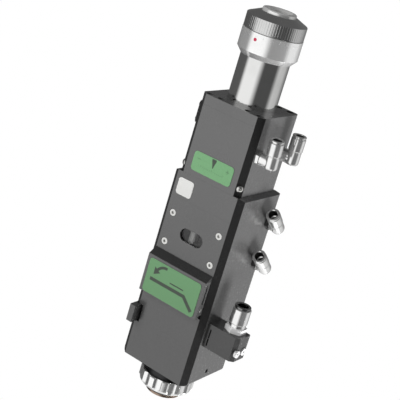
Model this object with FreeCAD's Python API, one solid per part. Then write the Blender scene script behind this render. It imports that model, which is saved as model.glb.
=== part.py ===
import FreeCAD, Part
import math
import os

os.makedirs("parts", exist_ok=True)
V = FreeCAD.Vector

# Overall layout in millimetres. Z runs up the beam, Y = 0 is the mounting face, -Y is the front.
AXIS_Y = -35.0
FRONT_Y = -67.0
UPPER_BACK_Y = -4.5
TOP_Z = 165.0
JOIN_Z = 93.5
LEDGE_DROP = 2.4
BOTTOM_Z = -90.4
UPPER_HALF_W = 32.0
LOWER_HALF_W = 37.1
EDGE_CHAMFER = 5.1
FACE_HALF_W = LOWER_HALF_W - EDGE_CHAMFER
RUNNING = 0.05
GAP = 0.3

# Fibre receptacle
TUBE_R = 21.8
TUBE_TOP_Z = 228.0
FIBRE_BORE_R = 10.5
INDEX_RING_R = TUBE_R + 4.7
INDEX_RING_H = 21.8
COLLAR_R = TUBE_R + 4.5
COLLAR_LOW_Z = TUBE_TOP_Z + GAP
COLLAR_H = 16.3
COLLAR_TEETH = 72
BAYONET_R = COLLAR_R - 2.9
RIM_R = FIBRE_BORE_R + 4.3
RIM_FOOT_R = TUBE_R - 2.6
RIM_DEEP = 10.0
RIM_TOP_Z = COLLAR_LOW_Z + COLLAR_H + 2.8
PLATE_THICK = 9.0
PLATE_LOW_Z = TOP_Z - PLATE_THICK
FLANGE_R = TUBE_R + 3.0
FLANGE_T = 5.8
PLATE_SCREW_X = (UPPER_HALF_W - 6.0, UPPER_HALF_W - 18.0)
PLATE_SCREW_IN = 5.2

# Optics and focus drive
SLEEVE_OUT_R = 21.0
LOCATING_H = 12.5
COLLIMATOR_Z = 122.0
COLLIMATOR_LENS_R = 15.0
CLAMP_Z = JOIN_Z + 52.5
FOCUS_Z = 41.3
FOCUS_LENS_R = 14.5
FOCUS_BORE_R = 17.0
FOCUS_BORE_Z = FOCUS_Z - 23.3
FOCUS_UP = 6.0
FOCUS_DOWN = 8.0
ARM_HALF = 4.0
SCREW_X = -26.4
SCREW_R = 2.0
SCREW_PITCH = 2.2
SCREW_POCKET_R = 5.2
MOTOR_R = 5.0
MOTOR_Z = (FOCUS_Z + 24.7, JOIN_Z - 3.5)
ROD_X = 26.4
ROD_R = 2.0
ROD_POCKET_R = 4.2
BEAM_R = 14.0
INDICATOR_X = (-4.5, 0.5)

# Front plate with its sight window
PLATE_Z0 = FOCUS_Z - 21.7
PLATE_Z1 = FOCUS_Z + 28.7
PLATE_T = 5.0
WINDOW_LONG = 24.3
WINDOW_HIGH = 12.2
PANE_LIP = 1.6
PANE_T = 2.0
SCREW_PAIR_X = FACE_HALF_W - 6.8
SCREW_PAIR_Z = (FOCUS_Z - 14.2, FOCUS_Z + 13.5)

# Clamp lever
LEVER_HALF_W = FACE_HALF_W - GAP
LEVER_TOP_Z = 19.2
LEVER_LOW_Z = -22.0
LEVER_FRONT_Y = FRONT_Y - 8.4
LEVER_PIVOT_Y = FRONT_Y - 3.7
LEVER_PIVOT_Z = LEVER_LOW_Z + 9.0
LEVER_PIN_R = 1.25
LEVER_WALL = 2.5
LEVER_SKIN = 1.7
LEVER_LEAN = 0.3
LEVER_SLOPE = 5.2
LEVER_NOTCH = (4.2, 3.4)
EAR_R = 2.7
EAR_X = (LEVER_HALF_W - LEVER_WALL - GAP - 3.9, LEVER_HALF_W - LEVER_WALL - GAP)
SWEEP_R = math.hypot(LEVER_FRONT_Y - LEVER_PIVOT_Y, LEVER_LOW_Z - LEVER_PIVOT_Z) + 2 * GAP

# Window cartridge behind the lever and window drawer below it
WINDOW_R = 15.0
WINDOW_CLEAR_R = WINDOW_R - 2.6
WINDOW_T = 4.0
CARTRIDGE_HALF_W = WINDOW_R + 5.0
CARTRIDGE_BACK_Y = AXIS_Y + 20.0
CARTRIDGE_Z = (-7.0, 5.0)
DRAWER_Z = (-55.6, -39.3)
DRAWER_Y = (AXIS_Y - 22.7, AXIS_Y + 22.7)
DRAWER_END_X = 20.7
DRAWER_FIT = 0.3
TAB_X = (-LOWER_HALF_W + 1.2, -LOWER_HALF_W + 7.5)
TAB_OUT = 8.5
TAB_SLIT = 2.3

# Nozzle end
NECK_R = 23.0
NECK_H = 12.8
SPIGOT_R = 20.2
SPIGOT_H = 5.2
THREAD_R = 21.0
THREAD_H = 7.6
NECK_LOW_Z = BOTTOM_Z - NECK_H - THREAD_H
CERAMIC_R = 16.6
CERAMIC_FLANGE_R = THREAD_R - 0.6
CERAMIC_FLANGE_T = 1.8
CERAMIC_H = 6.4
FLANGE_LOW_Z = NECK_LOW_Z - CERAMIC_FLANGE_T
CERAMIC_LOW_Z = FLANGE_LOW_Z - CERAMIC_H
LOCK_RING_R = 26.0
LOCK_RING_Z = (FLANGE_LOW_Z - 1.7, BOTTOM_Z - NECK_H + 2.0)
LOCK_RING_FLUTES = 12
FLUTE_R = 7.6
FLUTE_DEEP = 1.6
NOZZLE_R = 16.5
NOZZLE_H = 7.0
NOZZLE_SHANK_R = 9.0
ORIFICE_R = 0.75

# Gas block on the right side and the channel from it to the nozzle chamber
BLOCK_W = 32.4
BLOCK_X1 = LOWER_HALF_W + BLOCK_W
BLOCK_Y = (-57.7, -37.6)
BLOCK_Z = (-49.0, -26.0)
GAS_X = LOWER_HALF_W + 20.2
GAS_Y = -45.0
GAS_TUBE_R = 5.05
GAS_BODY_R = 8.3
GAS_SLEEVE_R = 6.5
GAS_THREAD_R = 6.0
GAS_Z = BLOCK_Z[1] - 7.0
GAS_LINE_Y = -47.0
GAS_LINE_R = 2.4
GAS_RISER = (LOWER_HALF_W - 8.1, AXIS_Y - 13.5)
GAS_RISER_R = 2.2
CHAMBER_PORT = (AXIS_Y + 1.0, BOTTOM_Z + 8.4)
PORT_R = 2.0
BLOCK_SCREWS_Y = (-53.4, -43.6)
BLOCK_SCREWS_Z = BLOCK_Z[0] + 8.0

# Bolt pattern of the mounting face
BOLT_X = 25.0
BOLT_Z = 35.0
BOLT_R = 2.1

# Water elbows: side face, depth and height of each leg, reach from the face, swivel towards the front
REAR_PORT_Y = -8.6
ELBOWS = (
    ("upper_front", UPPER_HALF_W, -54.8, 130.2, 13.5, 5.0),
    ("upper_rear", UPPER_HALF_W, -18.8, 131.0, 13.5, 0.5),
    ("lower_top", LOWER_HALF_W, REAR_PORT_Y, 65.4, 9.9, 49.0),
    ("lower_bottom", LOWER_HALF_W, REAR_PORT_Y, 25.4, 9.9, 50.5),
)
ELBOW_R = 6.0
ELBOW_MOUTH_R = 6.4
ELBOW_TOP = 19.1
ELBOW_LOW = -5.4
HUB_R = 5.3
JOURNAL_R = 3.0
HEX_T = 3.5
PORT_SEAT_R = 3.8
WATER_R = 1.6
WATER_TUBE_R = 4.05
SLEEVE_R = 5.2
PRESS_TRAVEL = 0.8


def cyl(r, z0, z1, x=0.0, y=AXIS_Y):
    return Part.makeCylinder(r, z1 - z0, V(x, y, z0), V(0, 0, 1))


def tube(r1, r0, z0, z1, x=0.0, y=AXIS_Y):
    return cyl(r1, z0, z1, x, y).cut(cyl(r0, z0 - 1, z1 + 1, x, y))


def cyl_x(r, x0, x1, y, z):
    return Part.makeCylinder(r, x1 - x0, V(x0, y, z), V(1, 0, 0))


def cyl_y(r, y0, y1, x, z):
    return Part.makeCylinder(r, y1 - y0, V(x, y0, z), V(0, 1, 0))


def box(x0, x1, y0, y1, z0, z1):
    return Part.makeBox(x1 - x0, y1 - y0, z1 - z0, V(x0, y0, z0))


def fuse(shapes):
    first = shapes[0]
    return first.fuse(shapes[1:]).removeSplitter() if len(shapes) > 1 else first


def cut_all(shape, tools):
    return shape.cut(tools)


def face_of(points):
    return Part.Face(Part.makePolygon(points + [points[0]]))


def prism_z(points, z0, z1):
    return face_of([V(x, y, z0) for x, y in points]).extrude(V(0, 0, z1 - z0))


def prism_x(points, x0, x1):
    return face_of([V(x0, y, z) for y, z in points]).extrude(V(x1 - x0, 0, 0))


def prism_y(points, y0, y1):
    return face_of([V(x, y0, z) for x, z in points]).extrude(V(0, y1 - y0, 0))


def turned(profile, x=0.0, y=AXIS_Y):
    points = [V(x + r, y, z) for r, z in profile]
    return face_of(points).revolve(V(x, y, 0), V(0, 0, 1), 360)


def hexagon(flats, angle=0.0):
    r = flats / math.sqrt(3.0)
    turns = [math.radians(60.0 * i + angle) for i in range(6)]
    return [(r * math.cos(t), r * math.sin(t)) for t in turns]


def stadium(long, high, y0, y1, z):
    r = high / 2.0
    half = long / 2.0 - r
    bar = box(-half, half, y0, y1, z - r, z + r)
    ends = [cyl_y(r, y0, y1, -half, z), cyl_y(r, y0, y1, half, z)]
    return fuse([bar] + ends)


def vertical_edges(shape, x, y, tol=0.05):
    found = []
    for edge in shape.Edges:
        a, b = edge.Vertexes[0].Point, edge.Vertexes[-1].Point
        if abs(a.z - b.z) > 1.0 and abs(a.x - b.x) < tol and abs(a.y - b.y) < tol:
            if abs(abs(a.x) - abs(x)) < tol and abs(a.y - y) < tol:
                found.append(edge)
    return found


def save(shape, name):
    shape.exportStep("parts/" + name + ".step")


def group(shapes):
    return Part.makeCompound(shapes)


# Screws
def socket_screw(head_r, head_h, shank_r, length, socket_r, dome=0.0):
    head = cyl(head_r, 0, head_h, 0, 0)
    if dome > 0:
        ball_r = (head_r ** 2 + dome ** 2) / (2 * dome)
        ball = Part.makeSphere(ball_r, V(0, 0, head_h + dome - ball_r))
        head = cyl(head_r, 0, head_h + dome, 0, 0).common(ball)
    else:
        rim = [e for e in head.Edges if abs(e.BoundBox.ZMin - head_h) < 0.01 and e.Closed]
        head = head.makeChamfer(head_r * 0.09, rim)
    socket = prism_z(hexagon(socket_r * 1.73), head_h * 0.35, head_h + 5)
    shank = cyl(shank_r, -length, 0.2, 0, 0)
    return head.fuse(shank).cut(socket)


def place(shape, position, direction):
    moved = shape.copy()
    turn = FreeCAD.Rotation(V(0, 0, 1), V(*direction))
    moved.Placement = FreeCAD.Placement(V(*position), turn)
    return moved


def both_sides(values):
    return [-value for value in values] + list(values)


PLATE_SCREWS = [(x, FRONT_Y + PLATE_SCREW_IN) for x in both_sides(PLATE_SCREW_X)]
PLATE_SCREWS += [(x, UPPER_BACK_Y - PLATE_SCREW_IN) for x in both_sides([x - 1.0 for x in PLATE_SCREW_X])]


# Receptacle
def receptacle_tube():
    seat = TUBE_TOP_Z - RIM_DEEP
    throat = FIBRE_BORE_R - 2.5
    low = PLATE_LOW_Z - FLANGE_T
    profile = [(FIBRE_BORE_R, seat), (FIBRE_BORE_R, PLATE_LOW_Z + 20), (throat, PLATE_LOW_Z + 12), (throat, low)]
    profile += [(FLANGE_R, low), (FLANGE_R, PLATE_LOW_Z), (TUBE_R, PLATE_LOW_Z), (TUBE_R, TUBE_TOP_Z - 2.5)]
    profile += [(RIM_FOOT_R, TUBE_TOP_Z - 2.5), (RIM_FOOT_R, seat)]
    return turned(profile)


def rim_sleeve():
    z1 = RIM_TOP_Z
    low = TUBE_TOP_Z - RIM_DEEP
    bore = FIBRE_BORE_R
    profile = [(bore, low), (RIM_FOOT_R, low), (RIM_FOOT_R, TUBE_TOP_Z - 2.5), (RIM_R, TUBE_TOP_Z - 2.5)]
    profile += [(RIM_R, z1 - 0.8), (RIM_R - 0.8, z1), (bore + 1.2, z1), (bore, z1 - 1.4)]
    keyway = box(-1.6, 1.6, AXIS_Y - bore - 2.1, AXIS_Y - bore + 2.5, z1 - 10, z1 + 1)
    return turned(profile).cut(keyway)


def index_ring():
    z = TUBE_TOP_Z - INDEX_RING_H
    r = INDEX_RING_R
    profile = [(TUBE_R, z), (TUBE_R + 0.6, z), (r, z + 4.7), (r, TUBE_TOP_Z - 0.4), (r - 0.4, TUBE_TOP_Z)]
    profile.append((TUBE_R, TUBE_TOP_Z))
    return turned(profile).cut(red_dot())


def red_dot():
    inner = INDEX_RING_R - 1.2
    disc = cyl_y(1.45, AXIS_Y - INDEX_RING_R - 0.1, AXIS_Y - inner, 0, TUBE_TOP_Z - 5.8)
    return disc.common(cyl(INDEX_RING_R, TUBE_TOP_Z - INDEX_RING_H, TUBE_TOP_Z))


def knurl_outline(r, teeth, deep):
    points = []
    for i in range(teeth):
        for shift, radius in ((0.0, r), (0.30, r), (0.65, r - deep)):
            turn = 2 * math.pi * (i + shift) / teeth
            points.append((radius * math.cos(turn), AXIS_Y + radius * math.sin(turn)))
    return points


def lock_collar():
    r = COLLAR_R
    low = COLLAR_LOW_Z
    top = low + COLLAR_H
    inside = RIM_R + RUNNING
    profile = [(BAYONET_R, low), (r, low), (r, top - 5.0), (r - 0.5, top - 4.5), (RIM_R + 1.4, top), (inside, top)]
    profile += [(inside, top - 4.6), (RIM_R + 3.6, top - 6.2), (BAYONET_R, top - 8.0)]
    knurl = prism_z(knurl_outline(r + 0.05, COLLAR_TEETH, 0.55), low + 0.8, top - 5.2)
    plain = [cyl(r + 4, top - 5.2, top + 5), cyl(r + 4, low - 1, low + 0.8)]
    return turned(profile).common(knurl.fuse(plain))


def bayonet_ring():
    low = COLLAR_LOW_Z + 1.3
    ring = tube(BAYONET_R, RIM_R + GAP, low, low + 5.0)
    for turn in (0, 120, 240):
        slot = box(RIM_R, RIM_R + 3.4, -3.4, 3.4, low - 1, low + 6)
        slot.rotate(V(0, 0, 0), V(0, 0, 1), turn)
        slot.translate(V(0, AXIS_Y, 0))
        ring = ring.cut(slot)
    return ring


# Upper housing
def upper_outline(z0, z1):
    w, c = UPPER_HALF_W, EDGE_CHAMFER
    points = [(-w, FRONT_Y + c), (-w + c, FRONT_Y), (w - c, FRONT_Y), (w, FRONT_Y + c)]
    points += [(w, UPPER_BACK_Y), (-w, UPPER_BACK_Y)]
    body = prism_z(points, z0, z1)
    return body.makeFillet(5.0, vertical_edges(body, w, UPPER_BACK_Y))


def top_plate():
    plate = upper_outline(PLATE_LOW_Z, TOP_Z)
    tools = [cyl(TUBE_R, PLATE_LOW_Z - 1, TOP_Z + 1)]
    for x, y in PLATE_SCREWS:
        tools.append(cyl(3.3, TOP_Z - 4.4, TOP_Z + 1, x, y))
        tools.append(cyl(1.75, PLATE_LOW_Z - 1, TOP_Z, x, y))
    return cut_all(plate, tools)


def top_screws():
    made = socket_screw(3.0, 3.0, 1.7, 13.0, 1.45)
    return group([place(made, (x, y, TOP_Z - 4.4), (0, 0, 1)) for x, y in PLATE_SCREWS])


def joint_screw_spots():
    spots = []
    for side in (-1, 1):
        x = side * (UPPER_HALF_W - EDGE_CHAMFER / 2.0)
        spots.append(((x, FRONT_Y + EDGE_CHAMFER / 2.0, JOIN_Z + 7.5), (side * 0.7071, -0.7071, 0.0)))
    return spots


def joint_screw_length():
    # the tip stops just short of the lower housing's locating sleeve
    x, y, z = joint_screw_spots()[1][0]
    across = (x - (y - AXIS_Y)) * 0.7071
    return across - SLEEVE_OUT_R - 0.25


def upper_housing():
    body = upper_outline(JOIN_Z, PLATE_LOW_Z)
    seat = PLATE_LOW_Z - FLANGE_T - 0.2
    tools = [cyl(SLEEVE_OUT_R + RUNNING, JOIN_Z - 1, seat + 1), cyl(FLANGE_R + RUNNING, seat, PLATE_LOW_Z + 1)]
    for x, y in PLATE_SCREWS:
        tools.append(cyl(1.7, PLATE_LOW_Z - 10, PLATE_LOW_Z + 1, x, y))
    for position, direction in joint_screw_spots():
        reach = joint_screw_length() + 2
        start = V(*position) - V(*direction) * reach
        tools.append(Part.makeCylinder(2.0, reach + 2, start, V(*direction)))
    back = PORT_SEAT_R + 2.2
    for name, face, y, z, reach, turn in ELBOWS[:2]:
        tools.append(cyl_x(PORT_SEAT_R, face - back, face + 1, y, z))
    front_y, rear_y, mid_z = ELBOWS[0][2], ELBOWS[1][2], (ELBOWS[0][3] + ELBOWS[1][3]) / 2.0
    tools.append(cyl_y(WATER_R, front_y, rear_y, UPPER_HALF_W - back, mid_z))
    tools.append(cyl_x(CLAMP_SCREW_R + RUNNING, -UPPER_HALF_W - 1, -SLEEVE_OUT_R + 1, AXIS_Y, CLAMP_Z))
    for y, z in COVER_SCREWS:
        tools.append(cyl_x(0.9, -UPPER_HALF_W - 4, -UPPER_HALF_W + 4.5, y, z))
    return cut_all(body, tools)


CLAMP_SCREW_R = 2.55
COVER_T = 2.3
COVER_Y = (FRONT_Y + 5.0, UPPER_BACK_Y - 8.9)
COVER_Z = (PLATE_LOW_Z - 19.0, PLATE_LOW_Z + 1.0)
COVER_SCREWS = [(y, z) for y in (COVER_Y[0] + 4.6, COVER_Y[1] - 5.2) for z in (COVER_Z[0] + 2.6, COVER_Z[1] - 4.6)]


def adjuster_cover():
    x0, x1 = -UPPER_HALF_W - COVER_T, -UPPER_HALF_W
    y0, y1 = COVER_Y
    z0, z1 = COVER_Z
    plate = prism_x([(y0, z0), (y0, z1 - 1.6), (y0 + 1.6, z1), (y1 - 1.6, z1), (y1, z1 - 1.6), (y1, z0)], x0, x1)
    rim = [e for e in plate.Edges if e.BoundBox.XMax < x0 + 0.01]
    plate = plate.makeChamfer(1.4, rim)
    tools = [cyl_x(1.1, x0 - 1, x1 + 1, y, z) for y, z in COVER_SCREWS]
    tools.append(box(x1 - 0.9, x1 + 1, AXIS_Y - 7, AXIS_Y + 7, CLAMP_Z - 5, CLAMP_Z + 5))
    return cut_all(plate, tools)


def cover_screws():
    made = socket_screw(1.9, 1.2, 0.88, 6.0, 0.9)
    return group([place(made, (-UPPER_HALF_W - COVER_T, y, z), (-1, 0, 0)) for y, z in COVER_SCREWS])


def collimator_clamp_screw():
    x0 = -UPPER_HALF_W + 0.4
    body = cyl_x(CLAMP_SCREW_R, x0, -SLEEVE_OUT_R, AXIS_Y, CLAMP_Z)
    slot = box(x0 - 1, x0 + 1, AXIS_Y - 0.4, AXIS_Y + 0.4, CLAMP_Z - 3, CLAMP_Z + 3)
    return body.cut(slot)


def joint_screws():
    made = socket_screw(2.9, 0.9, 1.98, joint_screw_length(), 1.0, dome=1.2)
    return group([place(made, position, direction) for position, direction in joint_screw_spots()])


def upper_label():
    plate = box(-20.8, 20.8, FRONT_Y - 0.4, FRONT_Y, JOIN_Z + 5.1, JOIN_Z + 22.8)
    corners = [e for e in plate.Edges if abs(e.BoundBox.YLength - 0.4) < 0.01]
    return plate.makeFillet(3.2, corners)


def badge_plate():
    low = PLATE_Z1 + 2.9
    plate = box(-28.5, -12.3, FRONT_Y - 0.4, FRONT_Y, low, low + 15.2)
    corners = [e for e in plate.Edges if abs(e.BoundBox.YLength - 0.4) < 0.01]
    return plate.makeFillet(2.5, corners)


# Collimator
def collimator_barrel():
    z = COLLIMATOR_Z
    r = COLLIMATOR_LENS_R
    low, top = JOIN_Z + LOCATING_H, PLATE_LOW_Z - FLANGE_T
    profile = [(SLEEVE_OUT_R, low), (SLEEVE_OUT_R, top), (r - 4, top), (r - 4, top - 4), (r - 1.4, z + 16)]
    profile += [(r - 1.4, z + 1.9), (r, z + 1.9), (r, z - 3.1), (r + 1.3, z - 3.1), (r + 1.3, low)]
    return turned(profile)


def lens(r, z, edge, bulge_up, bulge_down):
    blank = cyl(r, z - edge / 2 - bulge_down, z + edge / 2 + bulge_up)
    parts = [blank]
    if bulge_up > 0:
        big = (r ** 2 + bulge_up ** 2) / (2 * bulge_up)
        parts.append(Part.makeSphere(big, V(0, AXIS_Y, z + edge / 2 + bulge_up - big)))
    if bulge_down > 0:
        big = (r ** 2 + bulge_down ** 2) / (2 * bulge_down)
        parts.append(Part.makeSphere(big, V(0, AXIS_Y, z - edge / 2 - bulge_down + big)))
    made = parts[0]
    for other in parts[1:]:
        made = made.common(other)
    return made


def collimating_lens():
    return lens(COLLIMATOR_LENS_R, COLLIMATOR_Z + 0.4, 3.0, 0.0, 2.0)


def collimator_retainer():
    z = COLLIMATOR_Z
    r = COLLIMATOR_LENS_R
    profile = [(r - 0.8, z - 1.35), (r - 0.05, z - 1.35), (r - 0.05, z - 3.1), (r + 1.3, z - 3.1), (r + 1.3, z - 9.0)]
    profile += [(r - 2.0, z - 9.0), (r - 2.0, z - 4.4), (r - 0.8, z - 3.1)]
    slot = box(-r - 2, r + 2, AXIS_Y - 0.8, AXIS_Y + 0.8, z - 9.5, z - 7.6)
    return turned(profile).cut(slot)


# Lower housing
def lower_outline():
    w, c = LOWER_HALF_W, EDGE_CHAMFER
    points = [(-w, FRONT_Y + c), (-w + c, FRONT_Y), (w - c, FRONT_Y), (w, FRONT_Y + c), (w, 0), (-w, 0)]
    body = prism_z(points, BOTTOM_Z, JOIN_Z)
    body = body.makeFillet(4.0, vertical_edges(body, w, 0))
    ledge = JOIN_Z - LEDGE_DROP
    inset = 4.6
    side = [(w - inset, JOIN_Z), (w + 0.01, ledge), (w + 5, ledge), (w + 5, JOIN_Z + 5), (w - inset, JOIN_Z + 5)]
    right = prism_y(side, FRONT_Y - 5, 5)
    left = prism_y([(-x, z) for x, z in side], FRONT_Y - 5, 5)
    rear = [(-inset, JOIN_Z), (0.01, ledge), (5, ledge), (5, JOIN_Z + 5), (-inset, JOIN_Z + 5)]
    back = prism_x(rear, -w - 5, w + 5)
    body = body.cut([right, left, back])
    low = []
    for edge in body.Edges:
        b = edge.BoundBox
        flat = b.ZMax < BOTTOM_Z + 0.01
        if flat and (b.XMax < -w + 0.01 or b.YMin > -0.01):
            low.append(edge)
    return body.makeFillet(3.0, low)


def lever_ear(side):
    x0, x1 = EAR_X if side > 0 else (-EAR_X[1], -EAR_X[0])
    y, z, r = LEVER_PIVOT_Y, LEVER_PIVOT_Z, EAR_R
    stem = box(x0, x1, y, FRONT_Y + 9.0, z - r, z + r)
    return fuse([cyl_x(r, x0, x1, y, z), stem])


def part_of_lower(z0, z1):
    reach = LOWER_HALF_W + 1
    return lower_outline().common(box(-reach, reach, FRONT_Y - 1, 1, z0, z1))


def focus_housing():
    top = JOIN_Z + LOCATING_H
    body = part_of_lower(FOCUS_BORE_Z, JOIN_Z + 1).fuse(tube(SLEEVE_OUT_R, FOCUS_BORE_R, JOIN_Z - 2, top))
    tools = [cyl(FOCUS_BORE_R, FOCUS_BORE_Z - 1, top + 1)]
    tools += drive_pockets() + window_pocket() + ports()
    return cut_all(body, tools).removeSplitter()


def window_housing():
    spigot_top = BOTTOM_Z + SPIGOT_H
    body = part_of_lower(BOTTOM_Z - 1, FOCUS_BORE_Z)
    tools = [cyl(BEAM_R, spigot_top - 1, FOCUS_BORE_Z + 1), cyl(SPIGOT_R, BOTTOM_Z - 1, spigot_top)]
    tools += drive_pockets()[2:] + lever_pocket() + drawer_slot() + gas_channels() + ports()
    body = cut_all(body, tools)
    body = body.fuse([lever_ear(-1), lever_ear(1)])
    x0, x1 = EAR_X[0] - 1, EAR_X[1] + 1
    pins = [cyl_x(LEVER_PIN_R, x0, x1, LEVER_PIVOT_Y, LEVER_PIVOT_Z)]
    pins.append(cyl_x(LEVER_PIN_R, -x1, -x0, LEVER_PIVOT_Y, LEVER_PIVOT_Z))
    return cut_all(body, pins).removeSplitter()


def drive_pockets():
    low = FOCUS_BORE_Z
    tools = [cyl(MOTOR_R, MOTOR_Z[0] - 1, JOIN_Z + 0.01, SCREW_X), cyl(ROD_POCKET_R, low, JOIN_Z + 0.01, ROD_X)]
    tools.append(cyl(SCREW_POCKET_R, low - 2.0, MOTOR_Z[0], SCREW_X))
    tools.append(cyl(1.5 + RUNNING, low - 6.0, low - 1.0, SCREW_X))
    tools.append(cyl(ROD_R, low - 8.0, low + 1.0, ROD_X))
    z0, z1 = FOCUS_Z - ARM_HALF - FOCUS_DOWN - 3.3, FOCUS_Z + ARM_HALF + FOCUS_UP + 2.7
    tools.append(box(SCREW_X, 0, AXIS_Y - 3.5, AXIS_Y + 3.5, z0, z1))
    tools.append(box(0, ROD_X, AXIS_Y - 3.5, AXIS_Y + 3.5, z0, z1))
    return tools


def window_pocket():
    w = FACE_HALF_W
    wide = WINDOW_LONG / 2 + 3.85
    z0, z1 = PLATE_Z0 + 2.4, PLATE_Z1 - 6.0
    x0, x1 = INDICATOR_X
    tools = [box(-w, w, FRONT_Y - 1, FRONT_Y + PLATE_T, PLATE_Z0, PLATE_Z1)]
    tools.append(box(-wide, wide, FRONT_Y + 1, FRONT_Y + 12, z0, z1))
    tools.append(box(x0 - 1.1, x1 + 1.1, FRONT_Y + 8, AXIS_Y, z0, z1 - 2.0))
    for x in both_sides([SCREW_PAIR_X]):
        for z in SCREW_PAIR_Z:
            tools.append(cyl_y(1.7, FRONT_Y + 2, FRONT_Y + 15, x, z))
    return tools


def lever_pocket():
    w = FACE_HALF_W
    z0, z1 = CARTRIDGE_Z
    tools = [box(-w, w, FRONT_Y - 1, FRONT_Y + 5.5, LEVER_LOW_Z + 3.0, z1 + 7.0)]
    tools.append(cyl_x(SWEEP_R, -w, w, LEVER_PIVOT_Y, LEVER_PIVOT_Z))
    half = CARTRIDGE_HALF_W + 0.2
    tools.append(box(-half, half, FRONT_Y + 1, CARTRIDGE_BACK_Y + 0.4, z0 - 0.15, z1 + 0.15))
    return tools


def drawer_slot():
    z0, z1 = DRAWER_Z[0] - DRAWER_FIT, DRAWER_Z[1] + DRAWER_FIT
    y0, y1 = DRAWER_Y[0] - DRAWER_FIT, DRAWER_Y[1] + DRAWER_FIT
    tools = [box(-LOWER_HALF_W - 1, DRAWER_END_X + DRAWER_FIT, y0, y1, z0, z1)]
    tools.append(box(-LOWER_HALF_W - 1, TAB_X[1] + TAB_SLIT, FRONT_Y - 1, y0 + 1, z0, z1))
    return tools


def gas_channels():
    x, y = GAS_RISER
    port_y, port_z = CHAMBER_PORT
    out = LOWER_HALF_W + 3
    tools = [cyl_x(GAS_LINE_R, x, out, GAS_LINE_Y, GAS_Z), cyl(GAS_RISER_R, port_z - 2.6, GAS_Z, x, y)]
    tools.append(cyl_x(PORT_R, BEAM_R - 9, out, port_y, port_z))
    tools.append(cyl_y(PORT_R - 0.3, y, port_y, x, port_z))
    for screw_y in BLOCK_SCREWS_Y:
        tools.append(cyl_x(1.95, LOWER_HALF_W - 10, out, screw_y, BLOCK_SCREWS_Z))
    return tools


def ports():
    tools = []
    for name, face, y, z, reach, turn in ELBOWS[2:]:
        tools.append(cyl_x(PORT_SEAT_R, face - 6.0, face + 1, y, z))
        tools.append(cyl_x(WATER_R, face - 9.0, face - 5.0, y, z))
    tools.append(cyl(WATER_R, ELBOWS[3][3], ELBOWS[2][3], LOWER_HALF_W - 8.6, REAR_PORT_Y))
    for x in (-BOLT_X, BOLT_X):
        for z in (-BOLT_Z, BOLT_Z):
            tools.append(cyl_y(BOLT_R, -8.5, 1, x, z))
    return tools


def channel_plug():
    y, z = CHAMBER_PORT
    out = LOWER_HALF_W - 0.7
    plug = cyl_x(PORT_R, out - 3.8, out, y, z)
    return plug.cut(prism_x([(y + a, z + b) for a, b in hexagon(2.0)], out - 1.6, out + 1))


# Focus drive
def drive_motor():
    z0, z1 = MOTOR_Z
    body = cyl(MOTOR_R, z0, z1, SCREW_X)
    body = body.makeChamfer(0.5, [e for e in body.Edges if e.Closed])
    boss = cyl(2.6, z0 - 1.6, z0 + 0.1, SCREW_X)
    return body.fuse(boss).cut(cyl(1.25 + RUNNING, z0 - 2, z0 + 4, SCREW_X))


def lead_screw():
    low, top = FOCUS_BORE_Z + 1.0, MOTOR_Z[0] - 2.1
    shaft = cyl(SCREW_R, low, top, SCREW_X)
    ends = [cyl(1.5, low - 6.6, low + 0.2, SCREW_X), cyl(1.25, top - 0.4, top + 5.7, SCREW_X)]
    flat = box(SCREW_X - 3, SCREW_X + 3, AXIS_Y + 0.9, AXIS_Y + 3, top + 0.3, top + 7)
    grooves = []
    for i in range(int((top - low - 3) / SCREW_PITCH)):
        z = low + 2.0 + SCREW_PITCH * i
        grooves.append(tube(SCREW_R + 1, SCREW_R - 0.28, z, z + 0.7, SCREW_X))
    return shaft.fuse(ends).cut([flat] + grooves)


def guide_rod():
    rod = cyl(ROD_R, FOCUS_BORE_Z - 7.8, JOIN_Z - 1.5, ROD_X)
    return rod.makeChamfer(0.4, [e for e in rod.Edges if e.Closed])


def focus_carriage():
    z0, z1 = FOCUS_Z - 7.0, FOCUS_Z + 7.0
    r = FOCUS_LENS_R
    out = FOCUS_BORE_R - 0.4
    ring = turned([(r - 1.3, z0), (out, z0), (out, z1), (r + 1.1, z1), (r + 1.1, z0 + 6.2), (r, z0 + 6.2),
                   (r, z0 + 2.6), (r - 1.3, z0 + 2.6)])
    a0, a1 = FOCUS_Z - ARM_HALF, FOCUS_Z + ARM_HALF
    arms = [box(SCREW_X, 0.8 - out, AXIS_Y - 3.1, AXIS_Y + 3.1, a0, a1)]
    arms.append(box(out - 0.8, ROD_X, AXIS_Y - 3.1, AXIS_Y + 3.1, a0, a1))
    arms.append(cyl(SCREW_POCKET_R - 0.5, a0, a1, SCREW_X))
    arms.append(cyl(ROD_POCKET_R - 0.4, a0, a1, ROD_X))
    x0, x1 = INDICATOR_X
    arms.append(box(x0 - 0.5, x1 + 0.5, FRONT_Y + 6.2, AXIS_Y - r - 1.4, a0, a1))
    holes = [cyl(NUT_R, a0 - 1, a1 + 1, SCREW_X), cyl(ROD_R + RUNNING, a0 - 1, a1 + 1, ROD_X)]
    return ring.fuse(arms).cut(holes).removeSplitter()


NUT_R = SCREW_R + 1.2


def carriage_nut():
    a0, a1 = FOCUS_Z - ARM_HALF, FOCUS_Z + ARM_HALF
    nut = cyl(NUT_R, a0, a1, SCREW_X).fuse(cyl(NUT_R + 1.2, a1, a1 + 1.6, SCREW_X))
    return nut.cut(cyl(SCREW_R + RUNNING, a0 - 1, a1 + 3, SCREW_X))


def focus_lens():
    return lens(FOCUS_LENS_R, FOCUS_Z - 3.1, 2.6, 1.9, 0.0)


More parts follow.
